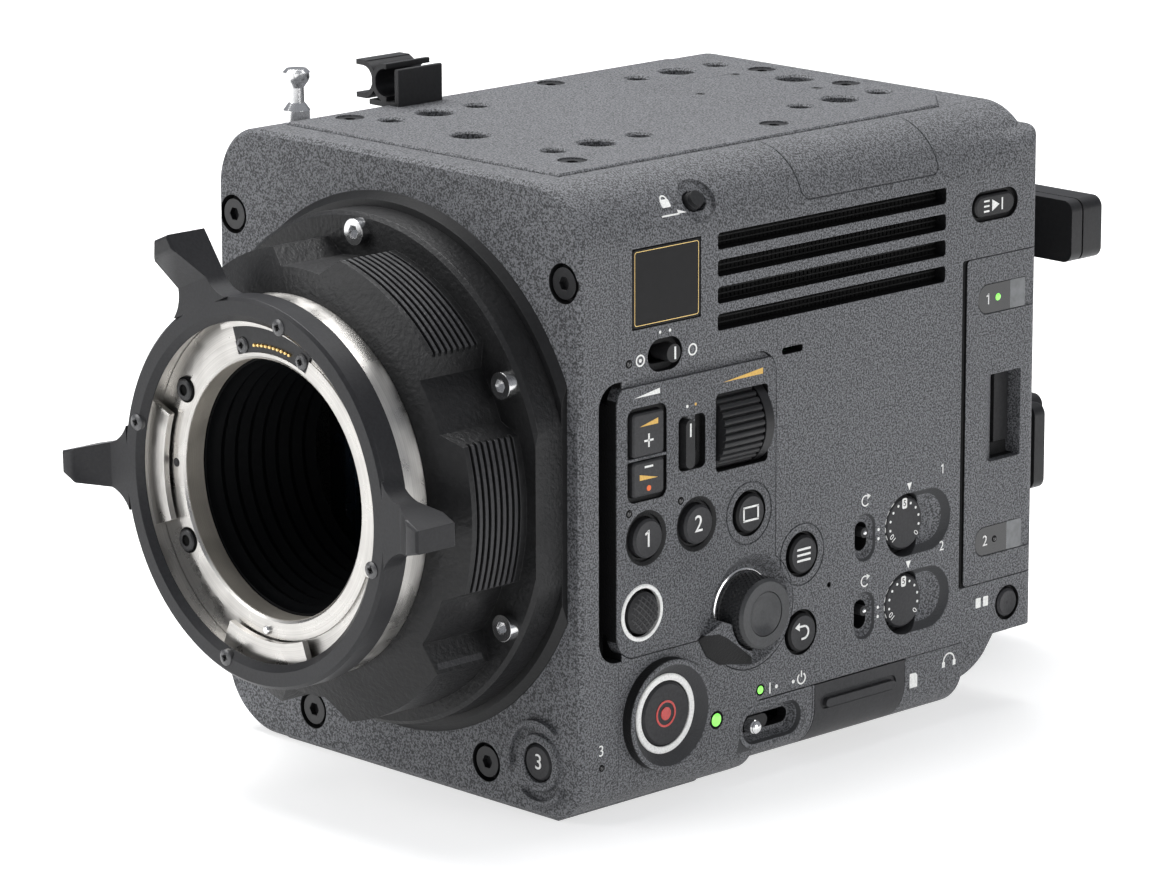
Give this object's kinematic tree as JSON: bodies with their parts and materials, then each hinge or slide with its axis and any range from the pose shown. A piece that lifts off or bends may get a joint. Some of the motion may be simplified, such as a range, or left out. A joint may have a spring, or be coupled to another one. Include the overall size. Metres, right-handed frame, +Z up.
{
  "type": "cinema camera",
  "caption": "Box cinema camera with a lever-locked lens mount, a control side with dials, keys and card door, threaded top plate and rear battery plate",
  "frame": {"origin": "mouth of the 3/8 inch tripod thread in the foot, under the lens axis at the film plane", "axes": "the lens looks along -Y, +X is the control side, +Z is up"},
  "size_m": [0.1456, 0.2206, 0.1416],
  "materials": {
    "body_paint": "fine-grained dark grey paint",
    "panel_paint": "fine-grained dark grey paint",
    "black_metal": "satin black",
    "ring_metal": "satin dark grey",
    "steel": "polished steel",
    "bright_screw": "bright",
    "dark_screw": "black oxide",
    "black_plastic": "matte black",
    "key_plastic": "matte dark grey",
    "rec_cap": "dark cap with a red mark",
    "insulator": "black insulator",
    "contacts": "gold-plated contacts in black",
    "filter": "dark filter glass",
    "board": "green circuit board",
    "alloy": "bare aluminium",
    "mesh": "black mesh",
    "sensor": "coated sensor",
    "connector": "bright plated"
  },
  "bodies": {
    "camera": {"adaptor_body": "black_metal", "adaptor_screws": "bright_screw", "audio_box": "body_paint", "base_plate": "body_paint", "battery_plate": "black_plastic", "cable_clamp": "black_plastic", "card_bay": "black_plastic", "contact_block": "contacts", "control_panel": "panel_paint", "door_hinge_pin": "steel", "fan_frame": "black_plastic", "front_plate": "body_paint", "heat_sink": "alloy", "housing_screws": "dark_screw", "lens_baffle": "black_metal", "lens_flange": "steel", "main_board": "board", "main_frame": "body_paint", "mount_base": "black_metal", "rear_connectors": "connector", "rear_plate": "body_paint", "sensor_module": "sensor", "side_cover": "body_paint", "tape_hook": "bright_screw", "top_hatch": "body_paint", "top_plate": "body_paint", "vent_mesh": "mesh", "xlr_sockets": "insulator"},
    "lock_ring": {"lock_ring": "ring_metal", "bayonet_ring": "steel"},
    "media_door": {"media_door": "body_paint"},
    "door_latch": {"door_latch": "key_plastic"},
    "sd_flap": {"sd_flap": "body_paint"},
    "battery_release": {"battery_release": "key_plastic"},
    "fan_rotor": {"fan_rotor": "black_plastic"},
    "nd_filter": {"nd_filter": "filter"},
    "nd_wheel": {"nd_wheel": "black_plastic"},
    "nd_switch": {"nd_switch": "key_plastic"},
    "af_switch": {"af_switch": "key_plastic"},
    "lock_switch": {"lock_switch": "black_plastic"},
    "power_switch": {"power_switch": "steel"},
    "auto_switch_1": {"auto_switch_1": "key_plastic"},
    "auto_switch_2": {"auto_switch_2": "key_plastic"},
    "level_dial_1": {"level_dial_1": "key_plastic"},
    "level_dial_2": {"level_dial_2": "key_plastic"},
    "jog_dial": {"jog_dial": "black_plastic"},
    "jog_button": {"jog_button": "key_plastic"},
    "joystick": {"joystick": "black_plastic"},
    "joystick_gimbal": {"joystick_gimbal": "black_plastic"},
    "rec_button": {"rec_button": "rec_cap"},
    "button_1": {"button_1": "key_plastic"},
    "button_2": {"button_2": "key_plastic"},
    "button_3": {"button_3": "key_plastic"},
    "disp_button": {"disp_button": "key_plastic"},
    "menu_button": {"menu_button": "key_plastic"},
    "back_button": {"back_button": "key_plastic"},
    "clips_button": {"clips_button": "key_plastic"},
    "slot_button": {"slot_button": "key_plastic"},
    "nd_plus": {"nd_plus": "key_plastic"},
    "nd_minus": {"nd_minus": "key_plastic"}
  },
  "joints": [
    {"name": "lock_ring_turn", "type": "hinge", "parent": "camera", "child": "lock_ring", "pos_m": [0, -0.054, 0.06745], "axis": [0, -1, 0], "range_deg": [0, 35]},
    {"name": "media_door_hinge", "type": "hinge", "parent": "camera", "child": "media_door", "pos_m": [0.05315, 0.0973, 0.065], "axis": [0, 0, -1], "range_deg": [0, 95]},
    {"name": "door_latch_slide", "type": "slide", "parent": "media_door", "child": "door_latch", "axis": [0, -1, 0], "range_m": [0, 0.0022], "stiffness_N_per_m": 400},
    {"name": "sd_flap_hinge", "type": "hinge", "parent": "camera", "child": "sd_flap", "pos_m": [0.0449, 0.064, 0.0031], "axis": [0, 1, 0], "range_deg": [0, 50]},
    {"name": "battery_release_press", "type": "slide", "parent": "camera", "child": "battery_release", "axis": [-1, 0, 0], "range_m": [0, 0.0018], "stiffness_N_per_m": 600},
    {"name": "fan_spin", "type": "hinge", "parent": "camera", "child": "fan_rotor", "pos_m": [-0.042, 0.05, 0.07], "axis": [1, 0, 0], "continuous": true},
    {"name": "nd_filter_slide", "type": "slide", "parent": "camera", "child": "nd_filter", "axis": [0, 0, 1], "range_m": [-0.036, 0]},
    {"name": "nd_wheel_turn", "type": "hinge", "parent": "camera", "child": "nd_wheel", "pos_m": [0.04766, 0.028, 0.0763], "axis": [0, 1, 0], "continuous": true},
    {"name": "nd_switch_slide", "type": "slide", "parent": "camera", "child": "nd_switch", "axis": [0, 1, 0], "range_m": [0, 0.0028]},
    {"name": "af_switch_slide", "type": "slide", "parent": "camera", "child": "af_switch", "axis": [0, 1, 0], "range_m": [-0.0036, 0]},
    {"name": "lock_switch_slide", "type": "slide", "parent": "camera", "child": "lock_switch", "axis": [0, 1, 0], "range_m": [0, 0.0018]},
    {"name": "power_switch_slide", "type": "slide", "parent": "camera", "child": "power_switch", "axis": [0, 1, 0], "range_m": [0, 0.006]},
    {"name": "auto_switch_1_slide", "type": "slide", "parent": "camera", "child": "auto_switch_1", "axis": [0, 0, 1], "range_m": [-0.002, 0]},
    {"name": "auto_switch_2_slide", "type": "slide", "parent": "camera", "child": "auto_switch_2", "axis": [0, 0, 1], "range_m": [-0.002, 0]},
    {"name": "level_dial_1_turn", "type": "hinge", "parent": "camera", "child": "level_dial_1", "pos_m": [0.0545, 0.079, 0.0466], "axis": [1, 0, 0], "range_deg": [-150, 150]},
    {"name": "level_dial_2_turn", "type": "hinge", "parent": "camera", "child": "level_dial_2", "pos_m": [0.0545, 0.0789, 0.0295], "axis": [1, 0, 0], "range_deg": [-150, 150]},
    {"name": "jog_dial_turn", "type": "hinge", "parent": "camera", "child": "jog_dial", "pos_m": [0.056, 0.0308, 0.0371], "axis": [1, 0, 0], "continuous": true},
    {"name": "jog_button_press", "type": "slide", "parent": "camera", "child": "jog_button", "axis": [-1, 0, 0], "range_m": [0, 0.0008], "stiffness_N_per_m": 500},
    {"name": "joystick_tilt_fore", "type": "hinge", "parent": "camera", "child": "joystick_gimbal", "pos_m": [0.05026, -0.0008, 0.0426], "axis": [0, 1, 0], "range_deg": [-6, 6], "stiffness_Nm_per_rad": 0.02},
    {"name": "joystick_tilt_side", "type": "hinge", "parent": "joystick_gimbal", "child": "joystick", "pos_m": [0.05026, -0.0008, 0.0426], "axis": [0, 0, 1], "range_deg": [-6, 6], "stiffness_Nm_per_rad": 0.02},
    {"name": "rec_button_press", "type": "slide", "parent": "camera", "child": "rec_button", "axis": [-1, 0, 0], "range_m": [0, 0.0008], "stiffness_N_per_m": 500},
    {"name": "button_1_press", "type": "slide", "parent": "camera", "child": "button_1", "axis": [-1, 0, 0], "range_m": [0, 0.0008], "stiffness_N_per_m": 500},
    {"name": "button_2_press", "type": "slide", "parent": "camera", "child": "button_2", "axis": [-1, 0, 0], "range_m": [0, 0.0008], "stiffness_N_per_m": 500},
    {"name": "disp_button_press", "type": "slide", "parent": "camera", "child": "disp_button", "axis": [-1, 0, 0], "range_m": [0, 0.0008], "stiffness_N_per_m": 500},
    {"name": "menu_button_press", "type": "slide", "parent": "camera", "child": "menu_button", "axis": [-1, 0, 0], "range_m": [0, 0.0008], "stiffness_N_per_m": 500},
    {"name": "back_button_press", "type": "slide", "parent": "camera", "child": "back_button", "axis": [-1, 0, 0], "range_m": [0, 0.0008], "stiffness_N_per_m": 500},
    {"name": "clips_button_press", "type": "slide", "parent": "camera", "child": "clips_button", "axis": [-1, 0, 0], "range_m": [0, 0.0008], "stiffness_N_per_m": 500},
    {"name": "slot_button_press", "type": "slide", "parent": "camera", "child": "slot_button", "axis": [-1, 0, 0], "range_m": [0, 0.0008], "stiffness_N_per_m": 500},
    {"name": "nd_plus_press", "type": "slide", "parent": "camera", "child": "nd_plus", "axis": [-1, 0, 0], "range_m": [0, 0.0008], "stiffness_N_per_m": 500},
    {"name": "nd_minus_press", "type": "slide", "parent": "camera", "child": "nd_minus", "axis": [-1, 0, 0], "range_m": [0, 0.0008], "stiffness_N_per_m": 500},
    {"name": "button_3_press", "type": "slide", "parent": "camera", "child": "button_3", "axis": [0, 1, 0], "range_m": [0, 0.0006], "stiffness_N_per_m": 500}
  ]
}
